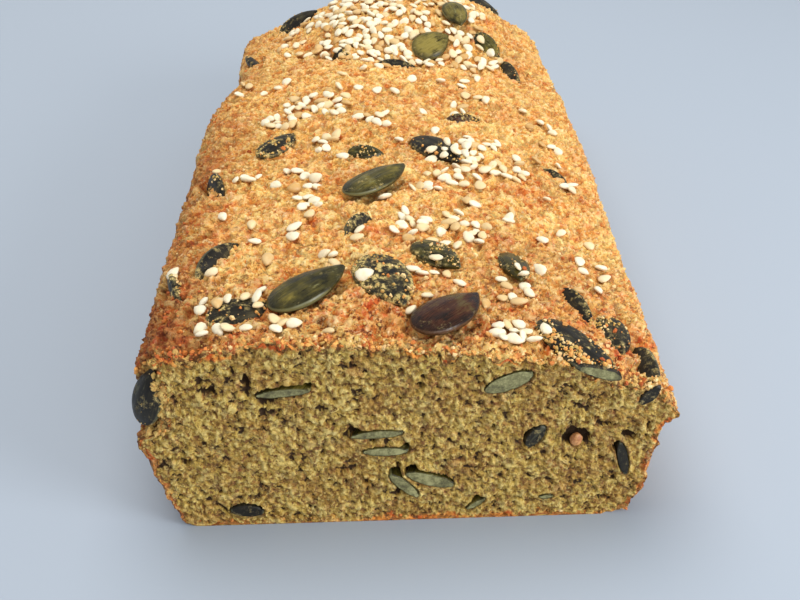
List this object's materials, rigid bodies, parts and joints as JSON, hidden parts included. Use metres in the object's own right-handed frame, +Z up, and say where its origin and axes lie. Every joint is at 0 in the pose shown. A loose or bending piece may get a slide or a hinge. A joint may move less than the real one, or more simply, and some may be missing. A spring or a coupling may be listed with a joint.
{
  "type": "lentil and teff loaf",
  "caption": "Tin-baked lentil and teff bread with its front end sliced off, topped with sesame and pumpkin seeds, resting on its flat base.",
  "frame": {"origin": "middle of the loaf's flat base", "axes": "+Y along the loaf from the cut face to the far end, +Z up, +X to the right seen from the cut face"},
  "size_m": [0.1058, 0.1962, 0.0528],
  "materials": {
    "crust": "golden to orange-brown baked crust, coarse and crumbly",
    "crumb": "olive-yellow open crumb, cut with a knife, with fine dark pits",
    "sesame": "hulled ivory sesame, satin",
    "seed_olive": "dark olive pumpkin seed skin, satin to glossy",
    "seed_dark": "black-green pumpkin seed skin, satin, dusted with crumbs",
    "seed_brown": "toasted dark brown pumpkin seed skin, glossy",
    "seed_cut": "pale grey-green seed flesh with a darker skin line"
  },
  "bodies": {
    "root": {"loaf": "crust", "pepita_green_by_cut": "seed_olive", "pepita_middle": "seed_olive", "pepita_brown_by_cut": "seed_brown", "pepita_far_olive": "seed_olive", "pepita_dusted": "seed_dark", "pepita_left_dusted": "seed_dark", "pepita_left_edge": "seed_dark", "pepita_left_sunk": "seed_dark", "pepita_right_flat": "seed_olive", "pepita_right_tipped": "seed_olive", "pepita_right_cut": "seed_dark", "pepita_under_sesame": "seed_dark", "pepita_far_right_edge": "seed_dark", "pepita_far_right_small": "seed_olive", "pepita_far_crown": "seed_olive", "pepita_far_left_edge": "seed_dark", "pepita_saddle_sliver": "seed_dark", "pepita_far_left_side": "seed_dark", "pepita_mid_sliver": "seed_dark", "pepita_right_sliver": "seed_dark", "pepita_right_ragged": "seed_dark", "pepita_right_edge_cut": "seed_dark", "pepita_left_wall_cut": "seed_dark", "pepita_mid_chip": "seed_olive", "pepita_back_sliver": "seed_olive", "pepita_right_small": "seed_dark", "pepita_left_shoulder": "seed_dark", "pepita_left_far_shoulder": "seed_dark", "pepita_far_chip": "seed_dark", "pepita_left_wall_front": "seed_dark", "pepita_left_wall_back": "seed_dark", "pepita_right_wall_front": "seed_dark", "pepita_right_wall_back": "seed_olive", "pepita_far_slope": "seed_olive", "pepita_far_corner": "seed_dark", "pepita_cut_upper_left": "seed_cut", "pepita_cut_middle_top": "seed_cut", "pepita_cut_middle": "seed_cut", "pepita_cut_low_left": "seed_cut", "pepita_cut_low_right": "seed_cut", "pepita_cut_upper_right": "seed_cut", "pepita_cut_dark": "seed_cut", "pepita_cut_right_crack": "seed_cut", "pepita_cut_base_left": "seed_cut", "pepita_cut_base_sliver": "seed_cut", "pepita_cut_chip": "seed_cut"}
  },
  "joints": []
}
